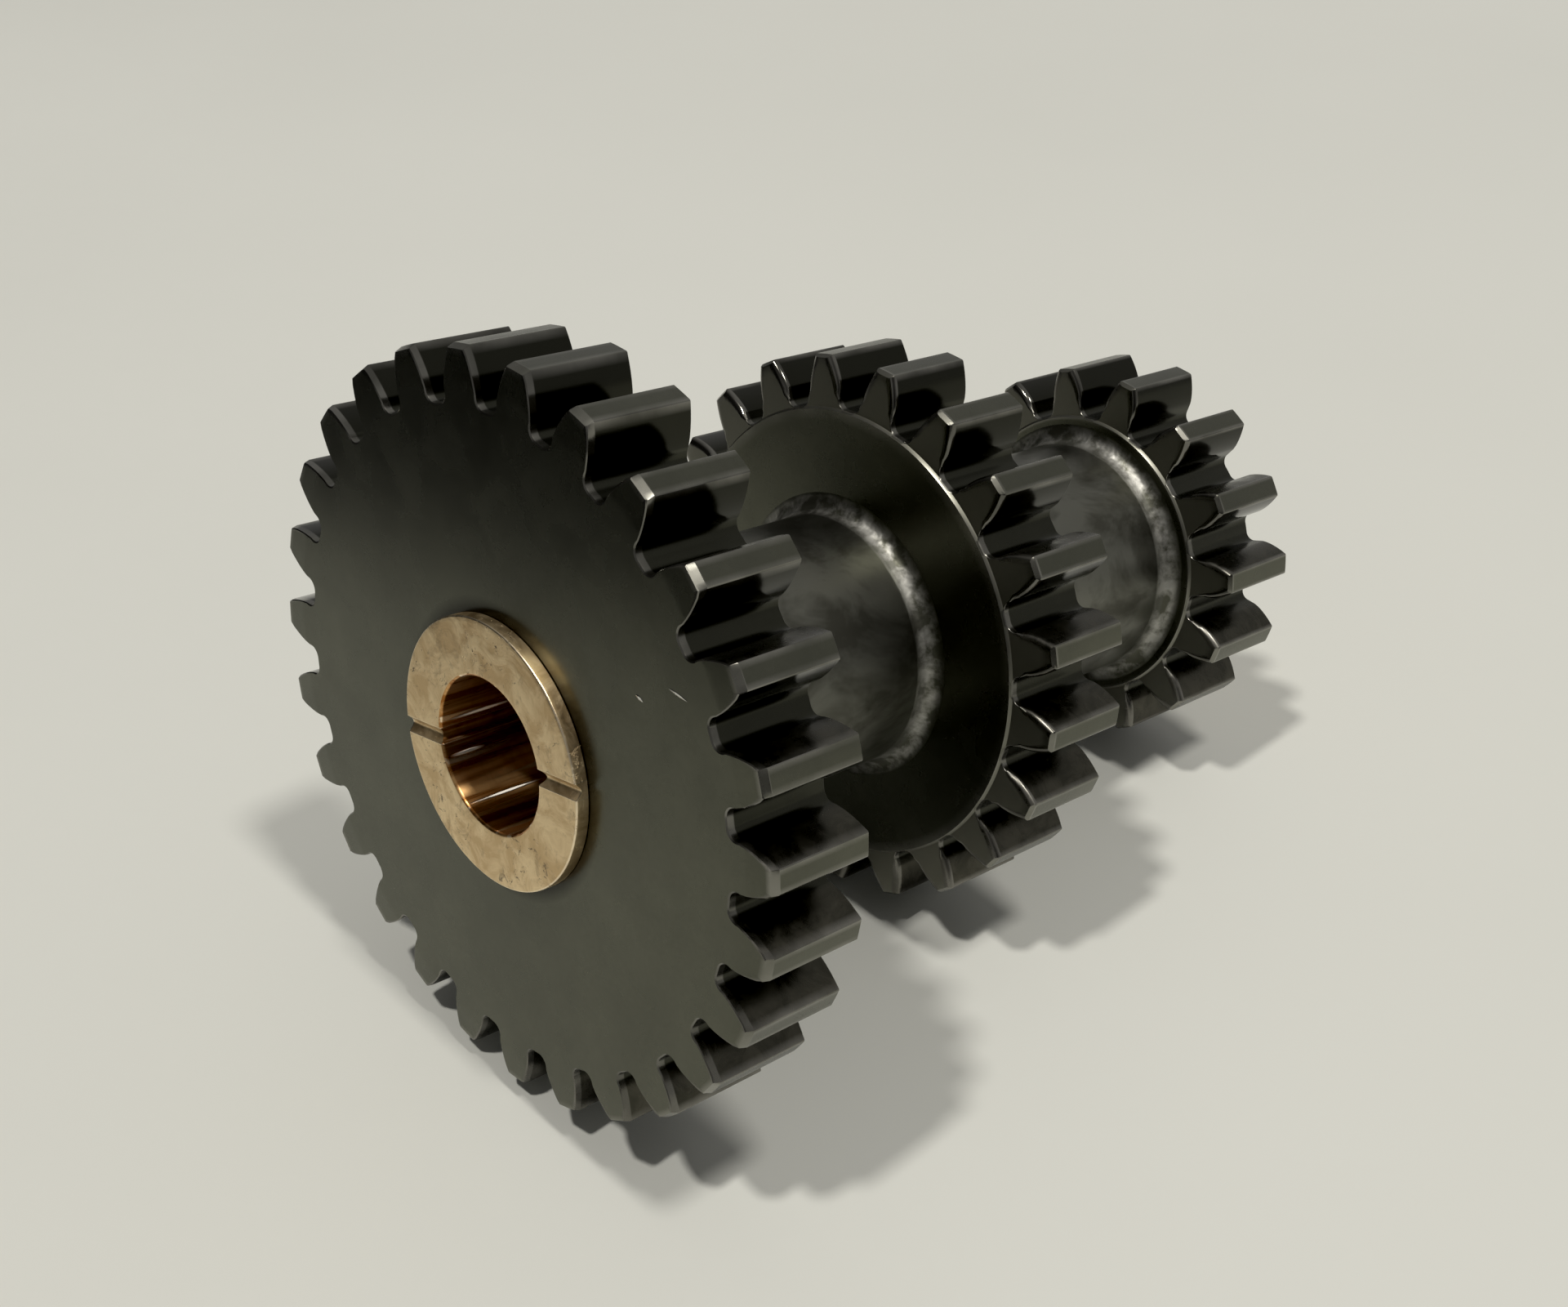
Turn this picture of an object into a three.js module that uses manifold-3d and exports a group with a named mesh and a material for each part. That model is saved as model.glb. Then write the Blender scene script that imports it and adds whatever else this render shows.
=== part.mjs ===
// A gearbox cluster gear: three stub-tooth spur rims cut on one steel forging,
// with a flanged bronze bush pressed into each end of its bore.
// Millimetres. The gear axis is Y and the large rim is at the -Y end.
import * as THREE from "three";
import { mergeVertices } from "three/addons/utils/BufferGeometryUtils.js";
import Module from "manifold-3d";

const wasm = await Module();
wasm.setup();

// ---- driving dimensions ---------------------------------------------------
const MODULE = 25.4 / 8; // teeth of 8/10 stub pitch
const PRESSURE_ANGLE = THREE.MathUtils.degToRad(20);
const ADDENDUM = 0.8 * MODULE;
const DEDENDUM = 1.2 * MODULE;
const BACKLASH = 0.1; // taken off each tooth's thickness at the pitch circle

const LENGTH = 115.2; // the forging, end face to end face

// Each rim: its tooth count, the distance of its front face behind the
// forging's front face, its face width and the angle in degrees of one tooth
// from straight up, clockwise seen from the front. The front ends of its teeth
// drop by `step` at the radius `knee` above the root, and lean back by `lean`
// in all at the tips, where a chamfer runs back by `chamfer`.
const RIMS = {
  large: {
    teeth: 27, start: 0, width: 13.5, phase: 0, knee: 2.15, step: 0, lean: 0.12, chamfer: 0.9,
  },
  middle: {
    teeth: 21, start: 53.4, width: 13.4, phase: 1, knee: -0.25, step: 0.35, lean: 0.7, chamfer: 0.5,
  },
  small: {
    teeth: 15, start: 101.4, width: 13.8, phase: 4, knee: -0.25, step: 0.35, lean: 0.7, chamfer: 0.5,
  },
};
const STEP_RUN = 0.3; // radial width of the step at the knee
const TIP_CHAMFER = 0.45; // radial height of the chamfer at the front tips
const BACK_CHAMFER = 0.2;
const ROOT_FILLET = 1.2;

const NECK_RADIUS = 16.4;
const NECK_FILLET = 2.4;

const SHAFT_RADIUS = 9.3; // bore of the bushes
const BUSH_RADIUS = 12;
const BUSH_LENGTH = 30;
const FLANGE_RADIUS = 16.25;
const FLANGE_THICKNESS = 1.75;
const FLANGE_EDGE = 0.25; // chamfer around the flange
const BORE_CHAMFER = 0.6;
const PRESS_GAP = 0.3; // drawn between the bushes and the forging's bore
const OIL_GROOVE_WIDTH = 2;
const OIL_GROOVE_DEPTH = 0.8;
const OIL_GROOVE_RUN = 22; // how far each groove runs down the bore
const OIL_GROOVE_ANGLE = 77; // degrees from straight up, and again opposite

// ---- how finely round shapes are divided ----------------------------------
const FORGING_SEGMENTS = 60;
const BUSH_SEGMENTS = 40;
const FLANK_STEPS = 2;
const FILLET_STEPS = 3;
const ROOT_STEPS = 2;
const GROOVE_SEGMENTS = 8;
const RING_SEGMENTS = 24; // of the tooth cutter's outside
const CUTTER_OVERRUN = 2; // how far a cutter runs past the faces it cuts
const CUTTER_REACH = 1; // how far its tooth spaces reach outside the teeth
const CUTTER_RING = 4; // radial thickness of the tooth cutter outside them

const outsideRadius = (rim) => (rim.teeth * MODULE) / 2 + ADDENDUM;
const rootRadius = (rim) => (rim.teeth * MODULE) / 2 - DEDENDUM;

// ---- solids ---------------------------------------------------------------
function toSolid(geometry) {
  const bare = geometry.clone();
  bare.deleteAttribute("normal");
  bare.deleteAttribute("uv");
  const merged = mergeVertices(bare, 1e-4);
  return new wasm.Manifold(
    new wasm.Mesh({
      numProp: 3,
      vertProperties: merged.attributes.position.array,
      triVerts: new Uint32Array(merged.index.array),
    }),
  );
}

function toMesh(name, solid, material) {
  const made = solid.getMesh();
  const geometry = new THREE.BufferGeometry();
  geometry.setAttribute("position", new THREE.BufferAttribute(made.vertProperties, 3));
  geometry.setIndex(new THREE.BufferAttribute(made.triVerts, 1));
  geometry.computeVertexNormals();
  const mesh = new THREE.Mesh(geometry, material);
  mesh.name = name;
  return mesh;
}

// A solid of revolution about Y, from a closed loop of [radius, Y] points.
function turned(profile, segments) {
  const points = profile.map(([r, y]) => new THREE.Vector2(r, y));
  points.push(points[0].clone());
  return toSolid(new THREE.LatheGeometry(points, segments));
}

// ---- the forging's turned blank -------------------------------------------
// A concave quarter circle from a neck at `y` to a rim face, as profile points.
function filletPoints(faceY, side) {
  const points = [];
  for (let i = 0; i <= FILLET_STEPS; i += 1) {
    const turn = (i / FILLET_STEPS) * (Math.PI / 2);
    const r = NECK_RADIUS + NECK_FILLET * (1 - Math.cos(turn));
    const y = faceY + side * NECK_FILLET * (1 - Math.sin(turn));
    points.push([r, y]);
  }
  return points;
}

// The outline of one rim, from the foot of its front face to its back face.
function rimPoints(rim) {
  const top = outsideRadius(rim);
  const end = rim.start + rim.width;
  const knee = rootRadius(rim) + rim.knee;
  return [
    [knee, rim.start],
    [knee + STEP_RUN, rim.start + rim.step],
    [top - TIP_CHAMFER, rim.start + rim.lean],
    [top, rim.start + rim.lean + rim.chamfer],
    [top, end - BACK_CHAMFER],
    [top - BACK_CHAMFER, end],
  ];
}

function blank() {
  const bore = BUSH_RADIUS + PRESS_GAP;
  const { large, middle, small } = RIMS;
  const neckEnds = [
    [large.start + large.width, 1],
    [middle.start, -1],
    [middle.start + middle.width, 1],
    [small.start, -1],
  ];
  const [largeBack, middleFront, middleBack, smallFront] = neckEnds.map(([y, side]) =>
    filletPoints(y, side),
  );
  const profile = [
    [bore, 0],
    ...rimPoints(large),
    ...largeBack.reverse(),
    ...middleFront,
    ...rimPoints(middle),
    ...middleBack.reverse(),
    ...smallFront,
    ...rimPoints(small),
    [bore, LENGTH],
  ];
  return turned(profile, FORGING_SEGMENTS);
}

// ---- teeth ----------------------------------------------------------------
const involute = (angle) => Math.tan(angle) - angle;

// Half the angle that a tooth takes up at a radius.
function halfToothAngle(rim, radius) {
  const pitchRadius = (rim.teeth * MODULE) / 2;
  const baseRadius = pitchRadius * Math.cos(PRESSURE_ANGLE);
  const thickness = (Math.PI * MODULE) / 2 - BACKLASH;
  const atPitch = thickness / (2 * pitchRadius) + involute(PRESSURE_ANGLE);
  return atPitch - involute(Math.acos(Math.min(1, baseRadius / radius)));
}

// The flank of a tooth space, as [radius, angle from the space's middle],
// from the rounded root outwards to `reach`.
function spaceFlank(rim, reach) {
  const root = rootRadius(rim);
  const base = ((rim.teeth * MODULE) / 2) * Math.cos(PRESSURE_ANGLE);
  const halfPitch = Math.PI / rim.teeth;
  const footAngle = halfPitch - halfToothAngle(rim, base);
  const points = [];
  for (let i = 0; i < ROOT_STEPS; i += 1) {
    const turn = (i / ROOT_STEPS) * (Math.PI / 2);
    const across = footAngle * root - ROOT_FILLET * (1 - Math.sin(turn));
    points.push([root + ROOT_FILLET * (1 - Math.cos(turn)), across / root]);
  }
  for (let i = 0; i <= FLANK_STEPS; i += 1) {
    const low = Math.max(base, root + ROOT_FILLET);
    const radius = low + ((reach - low) * i) / FLANK_STEPS;
    points.push([radius, halfPitch - halfToothAngle(rim, radius)]);
  }
  return points;
}

// A ring around the blank with a gear-shaped hole: what is left after cutting
// is the teeth.
function toothCutter(rim) {
  const reach = outsideRadius(rim) + CUTTER_REACH;
  const flank = spaceFlank(rim, reach);
  const halfPitch = Math.PI / rim.teeth;
  const hole = new THREE.Path();
  const outline = [];
  for (let tooth = 0; tooth < rim.teeth; tooth += 1) {
    const middle = THREE.MathUtils.degToRad(rim.phase) + (2 * tooth + 1) * halfPitch;
    for (const [r, a] of [...flank].reverse()) outline.push([r, middle - a]);
    for (const [r, a] of flank) outline.push([r, middle + a]);
  }
  hole.setFromPoints(outline.map(([r, a]) => new THREE.Vector2(r * Math.sin(a), r * Math.cos(a))));
  const ring = new THREE.Shape();
  ring.absarc(0, 0, reach + CUTTER_RING, 0, 2 * Math.PI);
  ring.holes.push(hole);
  const depth = rim.width + 2 * CUTTER_OVERRUN;
  const geometry = new THREE.ExtrudeGeometry(ring, {
    depth,
    bevelEnabled: false,
    curveSegments: RING_SEGMENTS,
  });
  geometry.rotateX(Math.PI / 2);
  geometry.translate(0, rim.start + rim.width + CUTTER_OVERRUN, 0);
  return toSolid(geometry);
}

function clusterGear() {
  let forging = blank();
  for (const rim of Object.values(RIMS)) forging = forging.subtract(toothCutter(rim));
  return forging;
}

// ---- bushes ---------------------------------------------------------------
// A bush in its own frame: its flange's thrust face looks along -Y, and the
// flange's other face is at Y = 0.
function bush() {
  const bodyPoints = [
    [SHAFT_RADIUS + BORE_CHAMFER, -FLANGE_THICKNESS],
    [FLANGE_RADIUS - FLANGE_EDGE, -FLANGE_THICKNESS],
    [FLANGE_RADIUS, FLANGE_EDGE - FLANGE_THICKNESS],
    [FLANGE_RADIUS, 0],
    [BUSH_RADIUS, 0],
    [BUSH_RADIUS, BUSH_LENGTH],
    [SHAFT_RADIUS + BORE_CHAMFER, BUSH_LENGTH],
    [SHAFT_RADIUS, BUSH_LENGTH - BORE_CHAMFER],
    [SHAFT_RADIUS, BORE_CHAMFER - FLANGE_THICKNESS],
  ];
  let body = turned(bodyPoints, BUSH_SEGMENTS);
  for (const side of [0, 180]) {
    for (const groove of oilGrooves()) {
      groove.rotateY(THREE.MathUtils.degToRad(OIL_GROOVE_ANGLE + side));
      body = body.subtract(toSolid(groove));
    }
  }
  return body;
}

// A rod along Y, as wide as an oil groove in X and twice its depth in Z.
function grooveCutter(length) {
  const radius = OIL_GROOVE_WIDTH / 2;
  const rod = new THREE.CylinderGeometry(radius, radius, length, GROOVE_SEGMENTS);
  rod.scale(1, 1, OIL_GROOVE_DEPTH / radius);
  return rod;
}

// One groove across the thrust face and one down the bore, both lying in the
// plane X = 0 on the +Z side. The first starts inside the bore.
function oilGrooves() {
  const across = grooveCutter(FLANGE_RADIUS);
  across.rotateX(Math.PI / 2);
  across.translate(0, -FLANGE_THICKNESS, SHAFT_RADIUS - OIL_GROOVE_DEPTH + FLANGE_RADIUS / 2);
  const down = grooveCutter(OIL_GROOVE_RUN);
  down.translate(0, OIL_GROOVE_RUN / 2 - FLANGE_THICKNESS - CUTTER_OVERRUN, SHAFT_RADIUS);
  return [across, down];
}

// ---- assembly -------------------------------------------------------------
const steel = new THREE.MeshStandardMaterial({
  name: "black_oxide_steel", color: 0x2b2b28, roughness: 0.42, metalness: 0.9,
});
const bronze = new THREE.MeshStandardMaterial({
  name: "bush_bronze", color: 0xb48a5a, roughness: 0.38, metalness: 1,
});

const assembly = new THREE.Group();
const gear = toMesh("cluster_gear", clusterGear(), steel);
gear.position.y = -LENGTH / 2;
assembly.add(gear);

const frontBush = toMesh("front_bush", bush(), bronze);
frontBush.position.y = -LENGTH / 2;
assembly.add(frontBush);

const rearBush = toMesh("rear_bush", bush(), bronze);
rearBush.rotation.z = Math.PI;
rearBush.position.y = LENGTH / 2;
assembly.add(rearBush);

export default assembly;
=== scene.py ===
"""A gearbox cluster gear: three spur rims on one blackened steel forging, with
bronze bushes in its bore, lying on its side on a pale table. The gear axis is
Y. Dimensions are in millimetres and are turned into metres with each mesh."""

import math

import bpy
import numpy as np
from mathutils import Matrix, Vector


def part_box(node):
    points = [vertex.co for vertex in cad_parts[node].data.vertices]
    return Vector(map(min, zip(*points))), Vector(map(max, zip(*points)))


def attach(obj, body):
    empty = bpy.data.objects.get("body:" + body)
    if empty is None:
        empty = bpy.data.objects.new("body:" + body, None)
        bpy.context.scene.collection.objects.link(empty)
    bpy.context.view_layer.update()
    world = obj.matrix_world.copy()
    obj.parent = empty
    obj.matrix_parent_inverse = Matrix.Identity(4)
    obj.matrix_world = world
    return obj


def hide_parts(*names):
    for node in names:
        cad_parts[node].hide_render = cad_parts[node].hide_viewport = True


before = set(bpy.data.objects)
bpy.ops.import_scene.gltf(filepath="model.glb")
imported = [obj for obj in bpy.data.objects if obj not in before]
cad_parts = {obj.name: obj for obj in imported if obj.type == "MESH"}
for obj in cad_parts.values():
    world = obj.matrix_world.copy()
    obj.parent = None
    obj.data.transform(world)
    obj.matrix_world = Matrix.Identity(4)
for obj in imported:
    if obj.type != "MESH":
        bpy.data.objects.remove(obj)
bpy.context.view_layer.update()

MM = 0.001

# ---- the gear's driving dimensions, as in the CAD --------------------------
MODULE = 25.4 / 8
PRESSURE_ANGLE = math.radians(20)
ADDENDUM = 0.8 * MODULE
DEDENDUM = 1.2 * MODULE
BACKLASH = 0.1
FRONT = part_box("cluster_gear")[0].y / MM
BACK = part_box("cluster_gear")[1].y / MM

NECK_RADIUS = 16.4
NECK_FILLET = 2.4
BORE_RADIUS = 12.05

SHAFT_RADIUS = 9.3
BUSH_RADIUS = 12.0
BUSH_LENGTH = 30.0
FLANGE_RADIUS = 16.25
FLANGE_THICKNESS = 1.75
GROOVE_HALF_WIDTH = 1.0
GROOVE_DEPTH = 0.8
GROOVE_RUN = 22.0
GROOVE_ANGLE = math.radians(77)

# The forging's small features: the chamfers at the ends of its bore, the
# fillets in the tooth roots, the break along each tooth's land, and how far
# the drop in a tooth's end runs out along the radius.
BORE_BREAK = 0.4
ROOT_FILLET = 1.25
TIP_BREAK = 0.1
STEP_RUN = 0.3

# The bushes' small features: the chamfers at the inner end, the rounds at the
# bore's mouth and the flange's front edge, the flange's gap to the forging
# and its back chamfer, and how the grooves fade out and curve.
BUSH_BREAK = 0.5
MOUTH_ROUND = 0.4
FLANGE_ROUND = 0.22
SEAT_GAP = 0.02
SEAT_BREAK = 0.1
GROOVE_FADE = 2.0
GROOVE_POWER = 1.7

# ---- how finely the meshes are made ----------------------------------------
# Every ring of points round the forging has this many, a whole number for
# each tooth of all three rims.
AROUND = 945
FILLET_STEPS = 10
# The wall of the bore has a ring this far in from each end.
BORE_RUN = 6.0
# The large rim's front face has a plain ring at this share of its root's
# radius. Each face turns toothed from at most FACE_MARGIN inside the roots.
# The rings there stay at least LEAST_GAP inside the outline, and FACE_STEPS
# of them lead up to it.
FACE_RING = 0.7
FACE_MARGIN = 1.6
FACE_STEPS = 5
LEAST_GAP = 0.02
# The plain part of a tooth starts at this many times its broken end's depth.
PAST_BREAK = 1.15
# Creases of more than this many degrees are sharp.
STEEL_SHARP = 18
BRONZE_SHARP = 32
# How far round a fillet, in radians, it starts to look like the neck.
NECK_FROM = 1.0

# Across each oil groove, out to GROOVE_ZONE from its middle line, the bush's
# points lie GROOVE_STEP apart.
GROOVE_ZONE = 2.4
GROOVE_STEP = 0.1
PLAIN_COLUMNS = 120
# The share of a round that counts as bore at the mouth, or as worn edge.
ROUND_SHARE = 0.9

# ---- marks and tones -------------------------------------------------------
# Two short nicks in the large rim's front face: where each lies (x, z), its
# length and width, and its turn about the gear's axis in degrees.
NICKS = ((28.6, 21.57, 3.0, 0.36, 1.5), (22.9, 18.35, 1.3, 0.5, 10.0))
# Painted highlight lines along the bore, where the lamps' glints run: each one's
# angle in degrees from straight up, how far its ends lie behind the front face, and its width.
BORE_GLINT_LINES = ((-156.6, -1.5, 9.5, 0.55), (-92.0, -0.6, 9.0, 0.6), (-119.0, -1.2, 4.0, 0.5))
# The painted shade round the front flange reaches this far from the axis.
FLANGE_SHADE_RADIUS = 18.2

# Linear RGB.
STEEL_TONES = {
    "dark": (0.088, 0.090, 0.070),
    "light": (0.116, 0.118, 0.091),
    "grain": (0.06, 0.06, 0.045),
    "land": (0.13, 0.13, 0.11),
    # The flank and root tones are painted shade in the tooth spaces.
    "flank": (0.020, 0.020, 0.016),
    # Painted light on the flanks on one side of each tooth, broken by scuffs:
    "worked": (0.090, 0.085, 0.068),
    "root": (0.02, 0.02, 0.016),
    "end": (0.24, 0.235, 0.20),
    "edge": (0.36, 0.35, 0.32),
    "neck": (0.20, 0.20, 0.18),
    "soot": (0.05, 0.048, 0.038),
    "fillet": (0.07, 0.068, 0.058),
    "patch": (0.42, 0.415, 0.39),
    # Painted shade round the front flange:
    "flange_shade": (0.018, 0.017, 0.013),
    "nick": (0.85, 0.84, 0.80),
}
BRONZE_TONES = {
    "dark": (0.60, 0.43, 0.23),
    "light": (0.86, 0.68, 0.42),
    "stain": (0.36, 0.26, 0.15),
    "pit": (0.07, 0.05, 0.03),
    "edge": (0.95, 0.82, 0.62),
}
BORE_TONES = {
    "dark": (0.30, 0.12, 0.03),
    "light": (0.70, 0.42, 0.18),
    "band": (0.32, 0.13, 0.04),
    "line": (1.0, 0.86, 0.62),
    "edge": (0.95, 0.80, 0.58),
    # Painted highlight on the bore's glint lines:
    "bore_glint": (1.0, 0.97, 0.90),
}
TABLE_TONES = ((0.755, 0.765, 0.722), (0.785, 0.795, 0.752))

# ---- table, room, lights and camera ----------------------------------------
# The gear lies on the edges of its large and middle rims, so in the gear's
# own frame the table slopes up towards the small rim. Its near edge passes
# in front of the gear, at TABLE_EDGE from the gear's middle and turned by
# TABLE_TURN.
TABLE_SLOPE = math.radians(10.13)
TABLE_POINT = Vector((0.0, -44.1, -45.24)) * MM
TABLE_SIZE = 3.0
TABLE_TURN = math.radians(-30)
TABLE_EDGE = 0.205

# The room brightens towards BRIGHT_SIDE and glows softly towards FRONT_GLOW.
# Each fade holds the cosines between which the brightness rises. The room
# lights diffuse surfaces less, by the share DIFFUSE_LOSS.
BRIGHT_SIDE = (0.1, 0.78, 0.62)
BRIGHT_FADE = (-0.22, 0.82)
BRIGHT_LEVELS = (0.026, 0.41)
FRONT_GLOW = (0.25, -0.95, 0.2)
GLOW_FADE = (0.7, 1.0)
GLOW_LEVELS = (0.0, 0.24)
DIFFUSE_LOSS = 0.28
BACKDROP = 0.6
ROOM_COLOR = (1.0, 0.985, 0.95)
BLACK_LEVEL = 0.002

# Each light's direction from the gear's middle, its distance and size in
# metres, and its watts.
LIGHTS = {
    "key_light": ((0.0, -0.476, 0.879), 4.0, 0.30, 61.5),
    "second_light": ((0.33, -0.075, 0.94), 2.6, 0.32, 22.5),
}
LIGHT_COLOR = (1.0, 0.965, 0.9)

CAMERA_PLACE = Vector((155.0, -173.6, 119.26)) * MM
CAMERA_AZIMUTH = math.radians(42.18)
CAMERA_ELEVATION = math.radians(33.51)
CAMERA_ROLL = math.radians(8.12)
CAMERA_LENS = 45.55
CAMERA_SHIFT = (-0.0213, 0.1229)


# ---- the three rims --------------------------------------------------------
class Rim:
    """One toothed rim. `phase` turns a tooth from straight up, clockwise seen
    from the front. `counts` shares half a tooth's points between its top
    land, flank and root. The front ends of the teeth drop by `step` at the
    radius `knee` above the root, and lean back by `lean` in all at the tip."""

    def __init__(self, teeth, start, width, phase, counts, knee, step, lean, front, back):
        self.teeth = teeth
        self.start = FRONT + start
        self.end = self.start + width
        self.phase = math.radians(phase)
        self.counts = counts
        self.step = step
        self.lean = lean
        self.front = front
        self.back = back
        self.pitch_radius = teeth * MODULE / 2
        self.tip_radius = self.pitch_radius + ADDENDUM
        self.root_radius = self.pitch_radius - DEDENDUM
        self.base_radius = self.pitch_radius * math.cos(PRESSURE_ANGLE)
        self.knee_radius = self.root_radius + knee


# How each end of the teeth is broken: the tip chamfer's height and length,
# the radius rounded off along the flanks and round the roots, and how many
# steps make that rounding.
CRISP_END = {"chamfer": (0.45, 0.9), "flank": 0.12, "root": 0.2, "steps": 1}
PLAIN_END = {"chamfer": (0.1, 0.1), "flank": 0.1, "root": 0.1, "steps": 1}
WORN_END = {"chamfer": (0.4, 0.5), "flank": 0.75, "root": 0.12, "steps": 6}

LARGE = Rim(27, 0.0, 13.5, 0.0, (2, 6, 9), 2.15, 0.0, 0.12, CRISP_END, PLAIN_END)
MIDDLE = Rim(21, 53.4, 13.4, 1.0, (3, 8, 11), -0.25, 0.35, 0.7, WORN_END, PLAIN_END)
SMALL = Rim(15, 101.4, 13.8, 4.0, (4, 12, 15), -0.25, 0.35, 0.7, WORN_END, PLAIN_END)


# ---- tooth outline ---------------------------------------------------------
# The parts of a tooth.
LAND = 0
FLANK = 1
ROOT = 2


def involute(angle):
    return math.tan(angle) - angle


def half_tooth_angle(rim, radius):
    """Half the angle that a tooth takes up at a radius."""
    thickness = math.pi * MODULE / 2 - BACKLASH
    at_base = thickness / (2 * rim.pitch_radius) + involute(PRESSURE_ANGLE)
    if radius <= rim.base_radius:
        return at_base
    return at_base - involute(math.acos(rim.base_radius / radius))


def root_points(rim, count):
    """Half a root, from the flank's foot to the middle of the space, as
    points in a plane with the tooth's centreline along +V."""
    low = rim.root_radius + ROOT_FILLET
    foot = half_tooth_angle(rim, max(low, rim.base_radius))
    centre = foot + ROOT_FILLET / low
    # The fillet's centre stands off the flank by its radius.
    cu, cv = low * math.sin(centre), low * math.cos(centre)
    half_pitch = math.pi / rim.teeth
    flat = max(0.0, (half_pitch - centre) * rim.root_radius)
    arc = math.pi / 2 * ROOT_FILLET
    points = []
    for i in range(count):
        s = (i + 0.5) / count * (arc + flat)
        if s < arc:
            turn = s / ROOT_FILLET
            du = -math.cos(turn) * ROOT_FILLET
            dv = -math.sin(turn) * ROOT_FILLET
            c, w = math.cos(-centre), math.sin(-centre)
            points.append((cu + du * c - dv * w, cv + du * w + dv * c))
        else:
            a = centre + (s - arc) / rim.root_radius
            points.append((rim.root_radius * math.sin(a), rim.root_radius * math.cos(a)))
    return points


def tooth_outline(rim):
    """One tooth and half a space on each side: points, outward normals and
    the part of the tooth that each belongs to."""
    lands, flanks, roots = rim.counts
    tip = half_tooth_angle(rim, rim.tip_radius)
    half = []
    kind = []
    edge = tip - TIP_BREAK / rim.tip_radius
    for i in range(1, lands + 1):
        a = edge * i / lands
        half.append((rim.tip_radius * math.sin(a), rim.tip_radius * math.cos(a)))
        kind.append(LAND)
    low = max(rim.base_radius, rim.root_radius + ROOT_FILLET)
    for i in range(flanks):
        r = rim.tip_radius - TIP_BREAK - (rim.tip_radius - TIP_BREAK - low) * i / (flanks - 0.5)
        a = half_tooth_angle(rim, r)
        half.append((r * math.sin(a), r * math.cos(a)))
        kind.append(FLANK)
    half += root_points(rim, roots)
    kind += [ROOT] * roots
    whole = [(-u, v) for u, v in reversed(half)] + [(0.0, rim.tip_radius)] + half
    kinds = kind[::-1] + [LAND] + kind
    points = np.array(whole)
    turn = 2 * math.pi / rim.teeth
    spin = np.array([[math.cos(turn), math.sin(turn)], [-math.sin(turn), math.cos(turn)]])
    before = points[-1] @ spin
    after = points[0] @ spin.T
    ring = np.vstack([before, points, after])
    along = ring[2:] - ring[:-2]
    normals = np.stack([-along[:, 1], along[:, 0]], 1)
    normals /= np.linalg.norm(normals, axis=1)[:, None]
    return points, normals, np.array(kinds)


# ---- rings of points round the gear axis -----------------------------------
# A ring is a dict: "p" holds AROUND rows of X, Y, Z, and the other entries
# hold one value per point for the steel's material.
MARKS = ("edge", "end", "land", "flank", "worked", "root", "fillet", "neck")


def make_ring(x, y, z, **marks):
    ring = {"p": np.stack([x, y, z], 1)}
    for name in MARKS:
        ring[name] = np.broadcast_to(np.asarray(marks.get(name, 0.0), float), len(x))
    return ring


def round_ring(radius, y, phase, **marks):
    a = phase + 2 * math.pi * np.arange(AROUND) / AROUND
    return make_ring(radius * np.sin(a), np.full(AROUND, float(y)), radius * np.cos(a), **marks)


def rounding(radius, depth):
    """How far a rounded edge has drawn in at a depth behind the face."""
    left = np.clip(radius - depth, 0, None)
    return radius - np.sqrt(np.maximum(radius ** 2 - left ** 2, 0))


def spread(rim, per_tooth):
    """Repeats one tooth's values round the rim, starting at a tooth's centre."""
    return np.roll(np.tile(per_tooth, rim.teeth), -(len(per_tooth) // 2))


def toothed_section(rim, end, depth):
    """The rim's whole outline at a depth behind one of its ends: radius and
    angle of each point, and one tooth's list of the parts they belong to."""
    points, normals, kind = tooth_outline(rim)
    flank = rounding(end["flank"], depth)
    root = rounding(end["root"], depth)
    inset = np.where(kind == ROOT, root, flank)
    shape = points - normals * inset[:, None]
    half_land = rim.tip_radius * half_tooth_angle(rim, rim.tip_radius)
    lands = kind == LAND
    shape[lands] = points[lands]
    shape[lands, 0] *= 1 - flank / half_land
    rise, run = end["chamfer"]
    limit = rim.tip_radius - rise * max(0.0, 1 - depth / run)
    radius = np.hypot(shape[:, 0], shape[:, 1])
    angle = np.arctan2(shape[:, 0], shape[:, 1])
    radius = np.minimum(radius, limit)
    middle = len(points) // 2
    tooth = np.arange(rim.teeth)[:, None] * 2 * math.pi / rim.teeth
    angles = np.roll((angle[None] + tooth).ravel(), -middle) + rim.phase
    angles[-middle:] += 2 * math.pi
    return spread(rim, radius), angles, kind


def lean_back(rim, radius):
    """How far the front ends of the teeth lie behind the rim's face."""
    knee = rim.knee_radius
    dropped = rim.step * np.clip((radius - knee) / STEP_RUN, 0, 1)
    rest = (radius - knee - STEP_RUN) / (rim.tip_radius - knee - STEP_RUN)
    return dropped + (rim.lean - rim.step) * np.clip(rest, 0, 1)


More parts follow.
